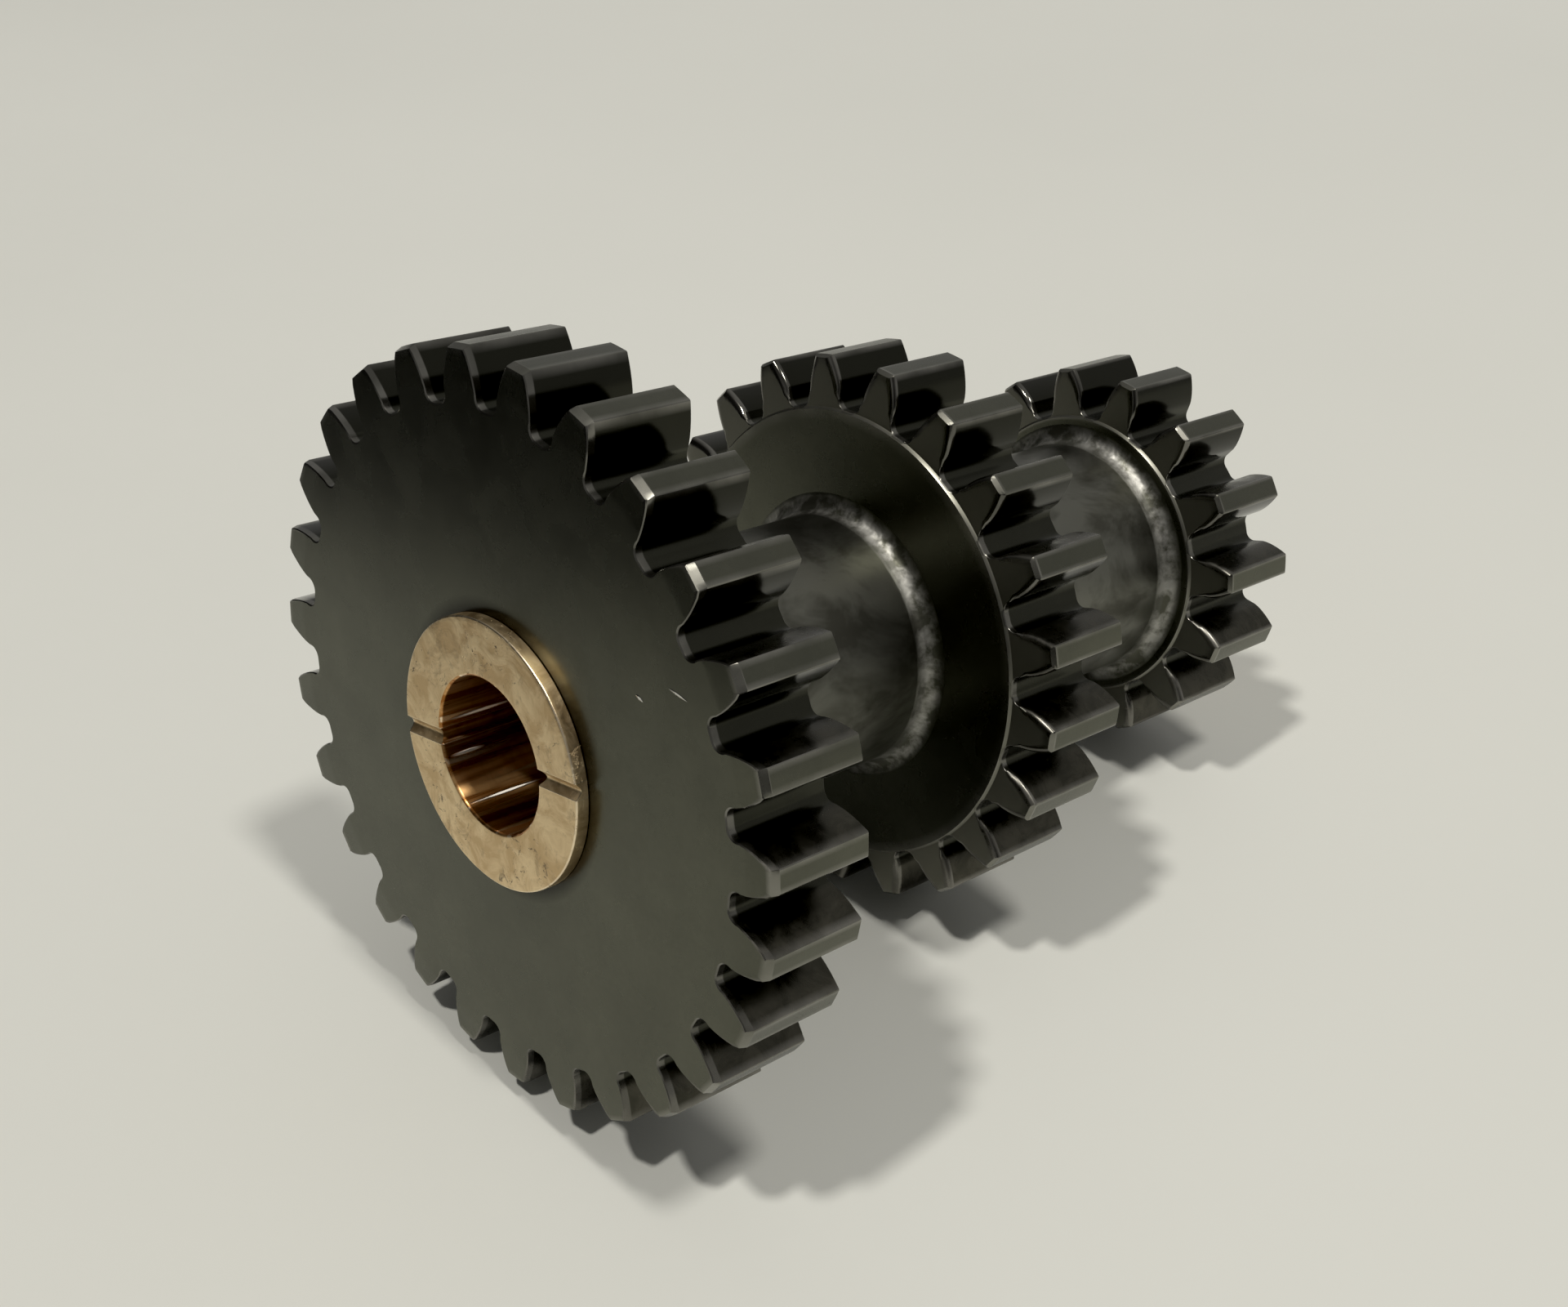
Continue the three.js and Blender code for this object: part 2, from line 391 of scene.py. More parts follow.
def end_face(rim, end, face_y, side):
    """Rings from the plain face out to the foot of the end's rounded edge.
    `side` is -1 for the front face and 1 for the back."""
    radius, angle, _ = toothed_section(rim, end, 0.0)
    fillet_top = NECK_RADIUS + NECK_FILLET
    plain = rim.root_radius - min(FACE_MARGIN, (rim.root_radius - fillet_top) / 2)
    uniform = rim.phase + 2 * math.pi * np.arange(AROUND) / AROUND
    knee = np.minimum(rim.knee_radius, radius - 2 * LEAST_GAP)
    foot = np.minimum(rim.knee_radius + STEP_RUN, radius - LEAST_GAP)
    levels = [np.full(AROUND, plain), knee]
    levels += [foot + (radius - foot) * i / FACE_STEPS for i in range(FACE_STEPS)]
    leaning = side < 0 and rim.step > 0
    rings = []
    for r in levels:
        a = uniform + (angle - uniform) * (r - plain) / (radius - plain)
        lean = lean_back(rim, r) if side < 0 else np.zeros(AROUND)
        lip = float(leaning and r is knee)
        past = (r > rim.knee_radius + 0.5 * STEP_RUN) * float(leaning)
        rings.append(make_ring(r * np.sin(a), face_y + lean, r * np.cos(a), edge=lip, end=past))
    return rings


def tooth_rings(rim, end, face_y, side):
    """Rings from an end of the teeth to where its rounding and chamfer stop."""
    run = end["chamfer"][1]
    flank = end["flank"]
    steps = end["steps"]
    stops = {0.0, run, end["root"]}
    stops |= {flank * (1 - math.cos(i / steps * math.pi / 2)) for i in range(1, steps + 1)}
    plain = max(stops) * PAST_BREAK
    rings = []
    for depth in sorted(stops | {plain}):
        radius, angle, kind = toothed_section(rim, end, depth)
        lean = lean_back(rim, radius) if side < 0 else np.zeros(AROUND)
        first_half = np.arange(len(kind)) < len(kind) // 2
        rings.append(make_ring(
            radius * np.sin(angle), face_y + lean - side * depth, radius * np.cos(angle),
            edge=np.maximum(float(depth < plain), spread(rim, corner_marks(kind))),
            land=spread(rim, kind == LAND),
            # Flanks and roots are marked for painted shade in the tooth spaces.
            flank=spread(rim, kind == FLANK),
            # The flanks on one side of each tooth are marked for painted light.
            worked=spread(rim, (kind == FLANK) & first_half),
            root=spread(rim, kind == ROOT),
        ))
    return rings


def corner_marks(kind):
    """1 at the corner between a tooth's land and its flank, 0 elsewhere."""
    marks = np.zeros(len(kind))
    for i in range(1, len(kind)):
        if {kind[i - 1], kind[i]} == {LAND, FLANK}:
            marks[i - 1] = marks[i] = 1.0
    return marks


def rim_rings(rim):
    """Every ring of a rim, from its front face to its back face."""
    front_face = end_face(rim, rim.front, rim.start, -1)
    front_teeth = tooth_rings(rim, rim.front, rim.start, -1)
    back_teeth = tooth_rings(rim, rim.back, rim.end, 1)
    back_face = end_face(rim, rim.back, rim.end, 1)
    return front_face + front_teeth + back_teeth[::-1] + back_face[::-1]


def fillet_rings(rim, face_y, side):
    """The concave corner between a rim's face and the neck. `side` is the way
    the neck lies: 1 behind the face, -1 in front of it."""
    rings = []
    for i in range(FILLET_STEPS + 1):
        turn = i / FILLET_STEPS * math.pi / 2
        r = NECK_RADIUS + NECK_FILLET * (1 - math.sin(turn))
        y = face_y + side * NECK_FILLET * (1 - math.cos(turn))
        mark = math.sin(2 * turn) ** 0.5
        rings.append(round_ring(r, y, rim.phase, fillet=mark, neck=float(turn > NECK_FROM)))
    return rings


def neck_rings(ahead, behind):
    """The neck between two rims, with its fillets."""
    middle = (ahead.end + behind.start) / 2
    plain = round_ring(NECK_RADIUS, middle, (ahead.phase + behind.phase) / 2, neck=1.0)
    first = fillet_rings(ahead, ahead.end, 1)
    second = fillet_rings(behind, behind.start, -1)[::-1]
    return first + [plain] + second


def forging_rings():
    """Every ring of the forging, from inside the front of its bore, over its
    outside, to inside the back. The bore's wall joins the last to the first."""
    bore_front = [
        round_ring(BORE_RADIUS, FRONT + BORE_RUN, 0.0),
        round_ring(BORE_RADIUS, FRONT + BORE_BREAK, 0.0),
        round_ring(BORE_RADIUS + BORE_BREAK, FRONT, 0.0),
        round_ring(LARGE.root_radius * FACE_RING, FRONT, 0.0),
    ]
    bore_back = [
        round_ring(BORE_RADIUS + BORE_BREAK, BACK, SMALL.phase),
        round_ring(BORE_RADIUS, BACK - BORE_BREAK, SMALL.phase),
        round_ring(BORE_RADIUS, BACK - BORE_RUN, SMALL.phase),
    ]
    rings = bore_front + rim_rings(LARGE) + neck_rings(LARGE, MIDDLE)
    rings += rim_rings(MIDDLE) + neck_rings(MIDDLE, SMALL)
    rings += rim_rings(SMALL) + bore_back
    return rings


# ---- meshes ----------------------------------------------------------------
def closed_quads(rings, columns):
    """Faces of a surface that closes on itself both along and around."""
    ring = np.arange(rings)[:, None]
    column = np.arange(columns)[None]
    after = (ring + 1) % rings
    beside = (column + 1) % columns
    return np.stack([
        ring * columns + column, ring * columns + beside,
        after * columns + beside, after * columns + column,
    ], -1).reshape(-1, 4)


def new_object(name, data):
    made = bpy.data.objects.new(name, data)
    bpy.context.scene.collection.objects.link(made)
    return made


def mesh_object(name, points, quads, material, sharp_degrees):
    """A smooth-shaded mesh, from points in millimetres and quads."""
    mesh = bpy.data.meshes.new(name)
    mesh.vertices.add(len(points))
    mesh.vertices.foreach_set("co", (np.asarray(points) * MM).astype(np.float32).ravel())
    mesh.loops.add(quads.size)
    mesh.loops.foreach_set("vertex_index", quads.astype(np.int32).ravel())
    mesh.polygons.add(len(quads))
    mesh.polygons.foreach_set("loop_start", np.arange(0, quads.size, 4, dtype=np.int32))
    mesh.update(calc_edges=True)
    mesh.validate()
    mesh.shade_smooth()
    mesh.set_sharp_from_angle(angle=math.radians(sharp_degrees))
    mesh.materials.append(material)
    return new_object(name, mesh)


def add_marks(made, name, values):
    """Stores one value per point, for a material to read."""
    attribute = made.data.attributes.new(name, "FLOAT", "POINT")
    attribute.data.foreach_set("value", np.asarray(values, np.float32).ravel())


def build_forging(material):
    rings = forging_rings()
    points = np.concatenate([ring["p"] for ring in rings])
    quads = closed_quads(len(rings), AROUND)
    made = mesh_object("forged_cluster", points, quads, material, STEEL_SHARP)
    for name in MARKS:
        add_marks(made, name, np.concatenate([ring[name] for ring in rings]))
    return made


# ---- bushes ----------------------------------------------------------------
def quarter(steps):
    """Angles from 0 to a right angle, in even steps."""
    return [i / steps * math.pi / 2 for i in range(steps + 1)]


def bush_profile():
    """The bush's section as (radius, Y) rows in its own frame, from the inner
    end of its bore to the thrust face, the flange's edge and back outside."""
    face = -FLANGE_THICKNESS
    rows = [
        (SHAFT_RADIUS + BUSH_BREAK, BUSH_LENGTH),
        (SHAFT_RADIUS, BUSH_LENGTH - BUSH_BREAK),
    ]
    # Rows lie close together where the grooves fade out.
    run_end = GROOVE_RUN - FLANGE_THICKNESS
    rows += [(SHAFT_RADIUS, run_end - s) for s in (-1.0, 0.0, 0.5, 1.0, 1.5, 2.0)]
    rows += [(SHAFT_RADIUS, run_end * (1 - i / 8)) for i in range(2, 8)]
    mouth = face + MOUTH_ROUND
    rows += [
        (SHAFT_RADIUS + MOUTH_ROUND * (1 - math.cos(t)), mouth - MOUTH_ROUND * math.sin(t))
        for t in quarter(6)
    ]
    inner = SHAFT_RADIUS + MOUTH_ROUND
    outer = FLANGE_RADIUS - FLANGE_ROUND
    rows += [(inner + (outer - inner) * i / 12, face) for i in range(1, 12)]
    rows += [
        (outer + FLANGE_ROUND * math.sin(t), face + FLANGE_ROUND * (1 - math.cos(t)))
        for t in quarter(4)
    ]
    rows += [(FLANGE_RADIUS, face * (1 - i / 6)) for i in range(2, 6)]
    rows += [
        (FLANGE_RADIUS, -SEAT_GAP - SEAT_BREAK),
        (FLANGE_RADIUS - SEAT_BREAK, -SEAT_GAP),
        (BUSH_RADIUS, -SEAT_GAP),
        (BUSH_RADIUS, BUSH_LENGTH / 2),
        (BUSH_RADIUS, BUSH_LENGTH - BUSH_BREAK),
        (BUSH_RADIUS - BUSH_BREAK, BUSH_LENGTH),
    ]
    return rows


def bush_angles(radius):
    """Angles of a ring's points: evenly spaced straight lines across each oil
    groove, so that its edges run true, and even angles between them."""
    count = round(2 * GROOVE_ZONE / GROOVE_STEP) + 1
    across = np.linspace(-GROOVE_ZONE, GROOVE_ZONE, count)
    grooved = np.arcsin(across / radius)
    plain = np.linspace(grooved[-1], math.pi + grooved[0], PLAIN_COLUMNS + 2)[1:-1]
    half = np.concatenate([grooved, plain])
    offset = np.concatenate([across, np.full(PLAIN_COLUMNS, GROOVE_ZONE)])
    angles = GROOVE_ANGLE + np.concatenate([half, half + math.pi])
    return angles, np.concatenate([offset, offset])


def groove_depth(offset):
    """A rounded V groove's depth at a distance from its middle line."""
    share = np.clip(np.abs(offset) / GROOVE_HALF_WIDTH, 0, 1)
    return GROOVE_DEPTH * (1 - share ** GROOVE_POWER)


def bush_ring(radius, y):
    """One ring of a bush with its grooves cut in: radii, heights and angles of
    its points, and 1 where a point is on an edge that wears bright."""
    angle, offset = bush_angles(radius)
    depth = groove_depth(offset)
    left = (GROOVE_RUN - FLANGE_THICKNESS - y) / GROOVE_FADE
    along = depth * math.sqrt(min(1.0, max(0.0, left)))
    radii = np.maximum(radius, SHAFT_RADIUS + along)
    heights = np.maximum(y, depth - FLANGE_THICKNESS)
    lip = np.abs(np.abs(offset) - GROOVE_HALF_WIDTH) < GROOVE_STEP / 2
    in_front = y < FLANGE_ROUND - FLANGE_THICKNESS
    on_rim = in_front and radius > FLANGE_RADIUS - FLANGE_ROUND * ROUND_SHARE
    return radii, heights, angle, np.maximum(lip.astype(float), float(on_rim))


def build_bush(name, end_y, turned, face_material, bore_material):
    """A bush whose flange sits on the forging's face at end_y. `turned` is 1
    at the front, and -1 at the back, where the bush faces the other way."""
    points = []
    edges = []
    profile = bush_profile()
    for radius, y in profile:
        radii, heights, angle, edge = bush_ring(radius, y)
        points.append(np.stack([
            turned * radii * np.sin(angle), end_y + turned * heights, radii * np.cos(angle),
        ], 1))
        edges.append(edge)
    columns = len(edges[0])
    quads = closed_quads(len(profile), columns)
    made = mesh_object(name, np.concatenate(points), quads, face_material, BRONZE_SHARP)
    made.data.materials.append(bore_material)
    bore_limit = SHAFT_RADIUS + MOUTH_ROUND * ROUND_SHARE
    bored = np.array([radius < bore_limit for radius, _ in profile]).repeat(columns)
    in_bore = bored[quads].all(axis=1)
    made.data.polygons.foreach_set("material_index", in_bore.astype(np.int32))
    add_marks(made, "edge", np.concatenate(edges))
    return made


# ---- materials -------------------------------------------------------------
def feed(tree, value, socket):
    """Sets a socket to a number or a colour, or links an output to it."""
    if isinstance(value, (int, float)):
        socket.default_value = value
    elif isinstance(value, tuple):
        socket.default_value = (*value, 1.0)
    else:
        tree.links.new(value, socket)


def math_node(tree, operation, *values):
    node = tree.nodes.new("ShaderNodeMath")
    node.operation = operation
    for socket, value in zip(node.inputs, values):
        feed(tree, value, socket)
    return node.outputs[0]


def set_range(node, low, high, to_low, to_high):
    """Makes a Map Range node take low..high to to_low..to_high."""
    for socket, number in (
        ("From Min", low), ("From Max", high), ("To Min", to_low), ("To Max", to_high),
    ):
        node.inputs[socket].default_value = number


class Paint:
    """A new Principled material and short ways to add nodes to it."""

    def __init__(self, name):
        self.material = bpy.data.materials.new(name)
        self.material.use_nodes = True
        self.tree = self.material.node_tree
        self.shader = self.tree.nodes["Principled BSDF"]
        self.place = self.tree.nodes.new("ShaderNodeTexCoord").outputs["Object"]

    def set(self, **values):
        """Sets the shader's own sockets; _ stands for a space in their names."""
        for name, value in values.items():
            self.shader.inputs[name.replace("_", " ")].default_value = value

    def link(self, output, socket):
        self.tree.links.new(output, self.shader.inputs[socket])

    def mark(self, name):
        """A value stored with the mesh's points by add_marks."""
        node = self.tree.nodes.new("ShaderNodeAttribute")
        node.attribute_name = name
        return node.outputs["Fac"]

    def noise(self, millimetres, detail=3.0, roughness=0.5, stretch=(1, 1, 1), distortion=0.0):
        """Noise whose features are about this many millimetres across."""
        node = self.tree.nodes.new("ShaderNodeTexNoise")
        node.inputs["Scale"].default_value = 1 / (millimetres * MM)
        node.inputs["Detail"].default_value = detail
        node.inputs["Roughness"].default_value = roughness
        node.inputs["Distortion"].default_value = distortion
        mapping = self.tree.nodes.new("ShaderNodeMapping")
        mapping.inputs["Scale"].default_value = stretch
        self.tree.links.new(self.place, mapping.inputs["Vector"])
        self.tree.links.new(mapping.outputs["Vector"], node.inputs["Vector"])
        return node.outputs["Fac"]

    def fit(self, value, low, high, to_low=0.0, to_high=1.0):
        """Maps low..high to to_low..to_high, clamped."""
        node = self.tree.nodes.new("ShaderNodeMapRange")
        feed(self.tree, value, node.inputs["Value"])
        set_range(node, low, high, to_low, to_high)
        return node.outputs["Result"]

    def math(self, operation, a, b):
        return math_node(self.tree, operation, a, b)

    def mix(self, share, a, b):
        """A colour from a to b; each is an output or a linear RGB triple."""
        node = self.tree.nodes.new("ShaderNodeMix")
        node.data_type = "RGBA"
        for socket, value in zip((node.inputs[0], node.inputs[6], node.inputs[7]), (share, a, b)):
            feed(self.tree, value, socket)
        return node.outputs[2]

    def coat(self, tone, cover, most, color):
        """Lays a colour over a tone, by a share of `most` where `cover` is 1."""
        return self.mix(self.math("MULTIPLY", cover, most), tone, color)

    def spot(self, centre, radii, turn=0.0, soft=0.5):
        """1 inside an ellipsoid turned about the gear's axis, falling to 0
        over the outer `soft` share of its radii."""
        mapping = self.tree.nodes.new("ShaderNodeMapping")
        mapping.vector_type = "TEXTURE"
        mapping.inputs["Location"].default_value = Vector(centre) * MM
        mapping.inputs["Rotation"].default_value = (0.0, math.radians(turn), 0.0)
        mapping.inputs["Scale"].default_value = Vector(radii) * MM
        ball = self.tree.nodes.new("ShaderNodeTexGradient")
        ball.gradient_type = "SPHERICAL"
        self.tree.links.new(self.place, mapping.inputs["Vector"])
        self.tree.links.new(mapping.outputs["Vector"], ball.inputs["Vector"])
        return self.fit(ball.outputs["Fac"], 0.0, soft)

    def bump(self, height, strength, distance_mm, before=None):
        """A bumped normal, on top of the one `before` if that is given."""
        node = self.tree.nodes.new("ShaderNodeBump")
        node.inputs["Strength"].default_value = strength
        node.inputs["Distance"].default_value = distance_mm * MM
        self.tree.links.new(height, node.inputs["Height"])
        if before is not None:
            self.tree.links.new(before, node.inputs["Normal"])
        return node.outputs["Normal"]


def steel_nicks(paint):
    """1 in the nicks of the large rim's face, 0 elsewhere."""
    spots = [
        paint.spot((x, FRONT, z), (length / 2, 1.0, width / 2), turn)
        for x, z, length, width, turn in NICKS
    ]
    return paint.math("MAXIMUM", *spots)


def steel_tone(paint, marks, grain, nicked):
    """The steel's colour, from the black under the oil up to the nicks."""
    tones = STEEL_TONES
    cloud = paint.fit(paint.noise(14.0, 4.0, 0.6), 0.3, 0.7)
    tone = paint.mix(cloud, tones["dark"], tones["light"])
    tone = paint.mix(paint.fit(grain, 0.25, 0.75, 0.0, 0.25), tone, tones["grain"])
    rub = paint.fit(paint.noise(6.0, 3.0, 0.5), 0.35, 0.65, 0.45, 1.0)
    soot = paint.fit(paint.noise(8.0, 4.0, 0.6, (1.0, 0.7, 1.0), 0.5), 0.44, 0.60)
    patch = paint.fit(paint.noise(3.2, 4.0, 0.6, distortion=0.2), 0.42, 0.60)
    # A ring of painted shade on the face round the front flange.
    flange_shade = paint.spot((0, FRONT, 0), (FLANGE_SHADE_RADIUS, 8.0, FLANGE_SHADE_RADIUS), soft=0.09)
    for name, cover, most in (
        ("land", marks["land"], 0.2),
        # The flank and root coats are painted shade in the tooth spaces.
        ("flank", marks["flank"], 0.9),
        # This coat is painted light on one flank of each tooth, broken by scuffs.
        ("worked", marks["worked"], 0.75),
        ("root", marks["root"], 0.75),
        ("end", marks["end"], 0.55),
        ("edge", paint.math("MULTIPLY", marks["edge"], rub), 0.5),
        ("neck", marks["neck"], 0.6),
        ("soot", paint.math("MULTIPLY", marks["neck"], soot), 0.7),
        ("fillet", marks["fillet"], 0.4),
        ("patch", paint.math("MULTIPLY", marks["fillet"], patch), 0.8),
        ("flange_shade", flange_shade, 0.85),
        ("nick", nicked, 1.0),
    ):
        tone = paint.coat(tone, cover, most, tones[name])
    return tone


def steel_roughness(paint, marks, smear):
    """Smooth under the oil, smoothest on the flanks and duller where worn."""
    rough = paint.fit(smear, 0.3, 0.7, 0.24, 0.30)
    for name, more in (
        ("flank", -0.13), ("worked", 0.20), ("end", 0.16), ("neck", 0.12), ("fillet", 0.16),
    ):
        rough = paint.math("ADD", rough, paint.math("MULTIPLY", marks[name], more))
    return rough


def steel_normal(paint, marks, grain, smear, nicked):
    """Fine grain, slow waves, lumps on the fillets and the two nicks."""
    fine = paint.bump(grain, 0.12, 0.01)
    waves = paint.bump(smear, 0.1, 0.03, fine)
    lumps = paint.math("MULTIPLY", paint.noise(2.2, 2.0, 0.5), marks["fillet"])
    lumpy = paint.bump(lumps, 0.5, 0.4, waves)
    return paint.bump(nicked, 0.5, 0.2, lumpy)


def black_steel():
    """Blackened steel under a film of oil. The lands, edges, tooth ends and
    neck are rubbed lighter, the flanks and roots carry painted shade, the
    flanks on one side of each tooth carry painted light broken by scuffs, the
    fillets have bright patches, and a ring round the front flange is painted shade."""
    paint = Paint("oiled_black_steel")
    marks = {name: paint.mark(name) for name in MARKS}
    # Scuff noise breaks up the painted light on one flank of each tooth.
    scuff = paint.fit(paint.noise(3.5, 4.0, 0.65, distortion=0.6), 0.36, 0.62, 0.35, 1.0)
    marks["worked"] = paint.math("MULTIPLY", marks["worked"], scuff)
    grain = paint.noise(0.7, 4.0, 0.7)
    smear = paint.noise(6.0, 4.0, 0.6, distortion=0.5)
    nicked = steel_nicks(paint)
    paint.link(steel_tone(paint, marks, grain, nicked), "Base Color")
    paint.link(steel_roughness(paint, marks, smear), "Roughness")
    paint.link(steel_normal(paint, marks, grain, smear, nicked), "Normal")
    paint.set(Metallic=1.0)
    return paint.material


def bearing_bronze():
    """The turned faces of a bush: mottled, pitted and stained."""
    paint = Paint("bearing_bronze")
    tones = BRONZE_TONES
    edge = paint.mark("edge")
    mottle = paint.noise(4.5, 5.0, 0.65, distortion=0.8)
    stain = paint.fit(paint.noise(4.0, 5.0, 0.75, distortion=0.6), 0.55, 0.66)
    pit = paint.fit(paint.noise(1.9, 6.0, 0.8, distortion=1.2), 0.585, 0.63)
    pit = paint.math("MULTIPLY", pit, paint.fit(paint.noise(9.0, 2.0, 0.5), 0.45, 0.55))
    tone = paint.mix(paint.fit(mottle, 0.40, 0.60), tones["dark"], tones["light"])
    tone = paint.coat(tone, stain, 0.55, tones["stain"])
    tone = paint.coat(tone, pit, 0.9, tones["pit"])
    tone = paint.coat(tone, edge, 0.6, tones["edge"])
    paint.link(tone, "Base Color")

    rough = paint.fit(mottle, 0.3, 0.7, 0.36, 0.48)
    rough = paint.math("SUBTRACT", rough, paint.math("MULTIPLY", edge, 0.14))
    paint.link(rough, "Roughness")
    fine = paint.bump(paint.noise(0.5, 4.0, 0.7), 0.25, 0.03)
    dents = paint.bump(paint.math("SUBTRACT", 1.0, pit), 0.7, 0.15, fine)
    paint.link(paint.bump(mottle, 0.5, 0.18, dents), "Normal")
    paint.set(Metallic=1.0)
    return paint.material


def bore_glint_lines(paint):
    """1 on the painted highlight lines along the bore, 0 elsewhere."""
    bore_glint = 0.0
    for angle, near, far, width in BORE_GLINT_LINES:
        turn = math.radians(angle)
        x = SHAFT_RADIUS * math.sin(turn)
        z = SHAFT_RADIUS * math.cos(turn)
        centre = (x, FRONT + (near + far) / 2, z)
        spot = paint.spot(centre, (width / 2, (far - near) / 2, width / 2))
        bore_glint = paint.math("MAXIMUM", bore_glint, spot)
    return bore_glint


def reamed_bronze():
    """The bore of a bush: browned, with fine marks running round it that draw
    reflections out along the axis, and painted highlight lines along it."""
    paint = Paint("reamed_bronze")
    tones = BORE_TONES
    streak = paint.noise(1.6, 4.0, 0.6, (1.0, 0.05, 1.0))
    band = paint.noise(5.0, 4.0, 0.6, (0.35, 1.6, 0.35))
    line = paint.fit(paint.noise(1.5, 2.0, 0.5, (1.0, 0.06, 1.0)), 0.60, 0.66)
    bore_glint = bore_glint_lines(paint)
    tone = paint.mix(paint.fit(streak, 0.40, 0.62), tones["dark"], tones["light"])
    tone = paint.mix(paint.fit(band, 0.5, 0.7, 0.0, 0.5), tone, tones["band"])
    tone = paint.coat(tone, line, 0.8, tones["line"])
    tone = paint.coat(tone, paint.mark("edge"), 0.7, tones["edge"])
    # The bright lines are painted highlights.
    paint.link(paint.mix(bore_glint, tone, tones["bore_glint"]), "Base Color")

    rough = paint.fit(streak, 0.3, 0.7, 0.24, 0.34)
    paint.link(paint.math("ADD", rough, paint.math("MULTIPLY", bore_glint, 0.25)), "Roughness")
    marks = paint.bump(paint.noise(0.25, 3.0, 0.6, (0.05, 1.0, 0.05)), 0.15, 0.02)
    paint.link(paint.bump(bore_glint, 0.6, 0.15, marks), "Normal")
    tangent = paint.tree.nodes.new("ShaderNodeTangent")
    tangent.direction_type = "RADIAL"
    tangent.axis = "Y"
    paint.link(tangent.outputs["Tangent"], "Tangent")
    paint.set(Metallic=1.0, Anisotropic=0.85, Anisotropic_Rotation=0.25)
    return paint.material


def pale_surface():
    """The table's satin top, faintly mottled."""
    paint = Paint("pale_table")
    cloud = paint.noise(160.0, 3.0, 0.5)
    paint.link(paint.mix(paint.fit(cloud, 0.3, 0.7), *TABLE_TONES), "Base Color")
    grain = paint.noise(3.0, 4.0, 0.6)
    paint.link(paint.fit(grain, 0.3, 0.7, 0.5, 0.58), "Roughness")
    paint.link(paint.bump(grain, 0.05, 0.05), "Normal")
    return paint.material


# ---- table, lights, camera and room ----------------------------------------
def add_table(material):
    """A table top with its near edge in front of the gear and the others far
    away."""
    half = TABLE_SIZE / 2
    corners = [(-half, -TABLE_EDGE), (half, -TABLE_EDGE), (half, TABLE_SIZE), (-half, TABLE_SIZE)]
    spin = Matrix.Rotation(TABLE_TURN, 3, "Z")
    points = []
    for x, y in corners:
        p = spin @ Vector((x, y, 0.0))
        p.z = TABLE_POINT.z + (p.y - TABLE_POINT.y) * math.tan(TABLE_SLOPE)
        points.append(p)
    mesh = bpy.data.meshes.new("table_top")
    mesh.from_pydata(points, [], [(0, 1, 2, 3)])
    mesh.materials.append(material)
    made = new_object("table_top", mesh)


def add_light(name, direction, distance, size, watts):
    """A disk light that faces the gear's middle."""
    data = bpy.data.lights.new(name, "AREA")
    data.shape = "DISK"
    data.size = size
    data.energy = watts
    data.color = LIGHT_COLOR
    made = new_object(name, data)
    towards = Vector(direction).normalized()
    made.location = towards * distance
    made.rotation_mode = "QUATERNION"
    made.rotation_quaternion = towards.to_track_quat("Z", "Y")


def add_camera():
    back = Vector((
        math.sin(CAMERA_AZIMUTH) * math.cos(CAMERA_ELEVATION),
        -math.cos(CAMERA_AZIMUTH) * math.cos(CAMERA_ELEVATION),
        math.sin(CAMERA_ELEVATION),
    ))
    level = Vector((math.cos(CAMERA_AZIMUTH), math.sin(CAMERA_AZIMUTH), 0.0))
    upright = back.cross(level)
    right = level * math.cos(CAMERA_ROLL) + upright * math.sin(CAMERA_ROLL)
    up = upright * math.cos(CAMERA_ROLL) - level * math.sin(CAMERA_ROLL)
    data = bpy.data.cameras.new("camera")
    data.sensor_width = 36.0
    data.lens = CAMERA_LENS
    data.shift_x, data.shift_y = CAMERA_SHIFT
    data.clip_start = 0.01
    data.clip_end = 20.0
    made = new_object("camera", data)
    turn = Matrix((right, up, back)).transposed().to_4x4()
    made.matrix_world = Matrix.Translation(CAMERA_PLACE) @ turn
    bpy.context.scene.camera = made


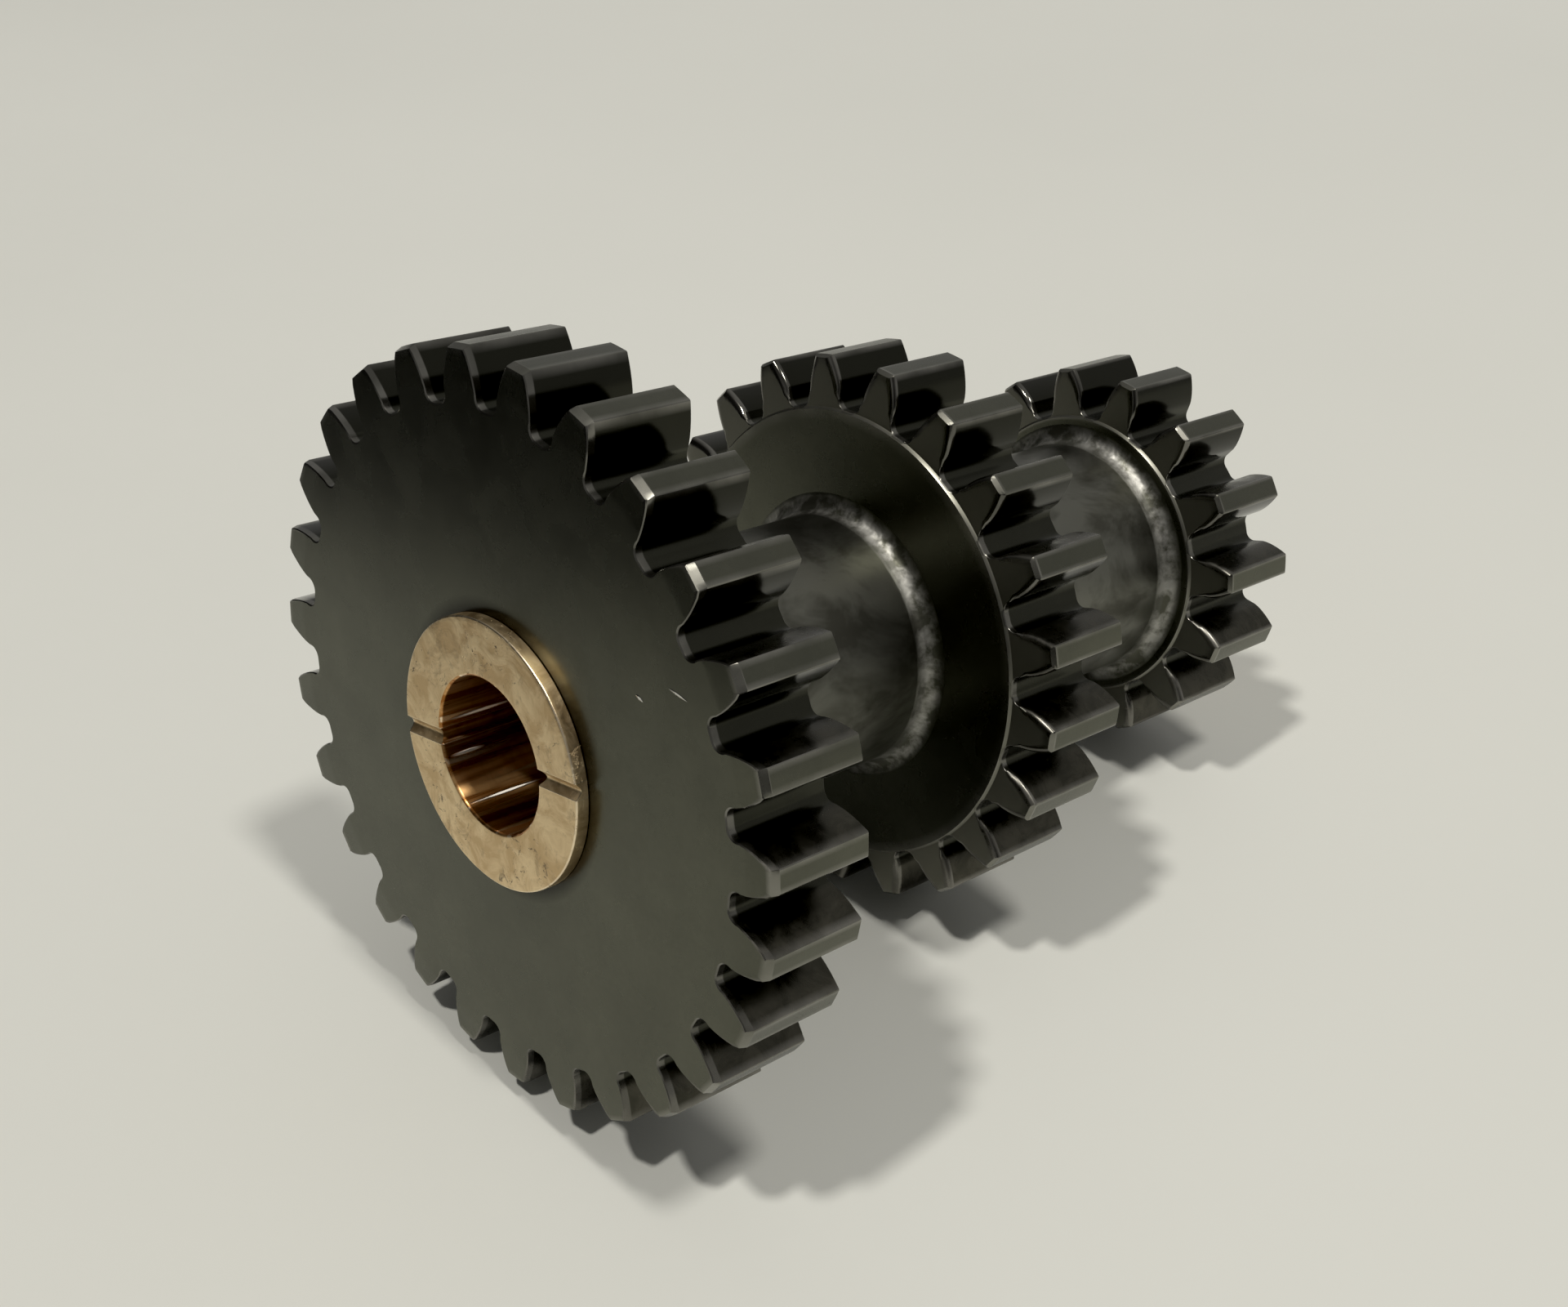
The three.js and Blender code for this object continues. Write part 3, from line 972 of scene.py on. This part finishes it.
def room_level(tree, place, direction, fade, levels):
    """Brightness that rises smoothly towards a direction."""
    facing = tree.nodes.new("ShaderNodeVectorMath")
    facing.operation = "DOT_PRODUCT"
    facing.inputs[1].default_value = Vector(direction).normalized()
    level = tree.nodes.new("ShaderNodeMapRange")
    level.interpolation_type = "SMOOTHSTEP"
    set_range(level, *fade, *levels)
    tree.links.new(place, facing.inputs[0])
    tree.links.new(facing.outputs["Value"], level.inputs["Value"])
    return level.outputs["Result"]


def add_world():
    """A soft room that is bright behind and above the gear, and dark in front
    of it but for a soft glow level with it. It lights diffuse surfaces less
    than mirrors, and the camera itself sees a plain pale backdrop."""
    world = bpy.data.worlds.new("studio")
    world.use_nodes = True
    tree = world.node_tree
    place = tree.nodes.new("ShaderNodeTexCoord").outputs["Generated"]
    seen = tree.nodes.new("ShaderNodeLightPath")
    bright = room_level(tree, place, BRIGHT_SIDE, BRIGHT_FADE, BRIGHT_LEVELS)
    glow = room_level(tree, place, FRONT_GLOW, GLOW_FADE, GLOW_LEVELS)
    room = math_node(tree, "ADD", bright, glow)
    dimmed = math_node(tree, "MULTIPLY_ADD", seen.outputs["Is Diffuse Ray"], -DIFFUSE_LOSS, 1.0)
    strength = tree.nodes.new("ShaderNodeMix")
    feed(tree, seen.outputs["Is Camera Ray"], strength.inputs["Factor"])
    feed(tree, math_node(tree, "MULTIPLY", room, dimmed), strength.inputs[2])
    feed(tree, BACKDROP, strength.inputs[3])
    background = tree.nodes["Background"]
    feed(tree, ROOM_COLOR, background.inputs["Color"])
    tree.links.new(strength.outputs[0], background.inputs["Strength"])
    bpy.context.scene.world = world


def set_view():
    """Plain sRGB, but with the very darkest tones taken down to black."""
    view = bpy.context.scene.view_settings
    view.view_transform = "Standard"
    view.use_curve_mapping = True
    view.curve_mapping.black_level = (BLACK_LEVEL,) * 3
    view.curve_mapping.update()


# ---- build -----------------------------------------------------------------
steel = black_steel()
bronze = (bearing_bronze(), reamed_bronze())

forging = build_forging(steel)
front_bush = build_bush("bronze_bush_front", FRONT, 1, *bronze)
rear_bush = build_bush("bronze_bush_rear", BACK, -1, *bronze)

for piece, node, slot in (
    (forging, "cluster_gear", "black_oxide_steel"),
    (front_bush, "front_bush", "bush_bronze"),
    (rear_bush, "rear_bush", "bush_bronze"),
):
    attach(piece, "root")
    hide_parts(node)

add_table(pale_surface())
for light, facts in LIGHTS.items():
    add_light(light, *facts)
add_world()
add_camera()
set_view()
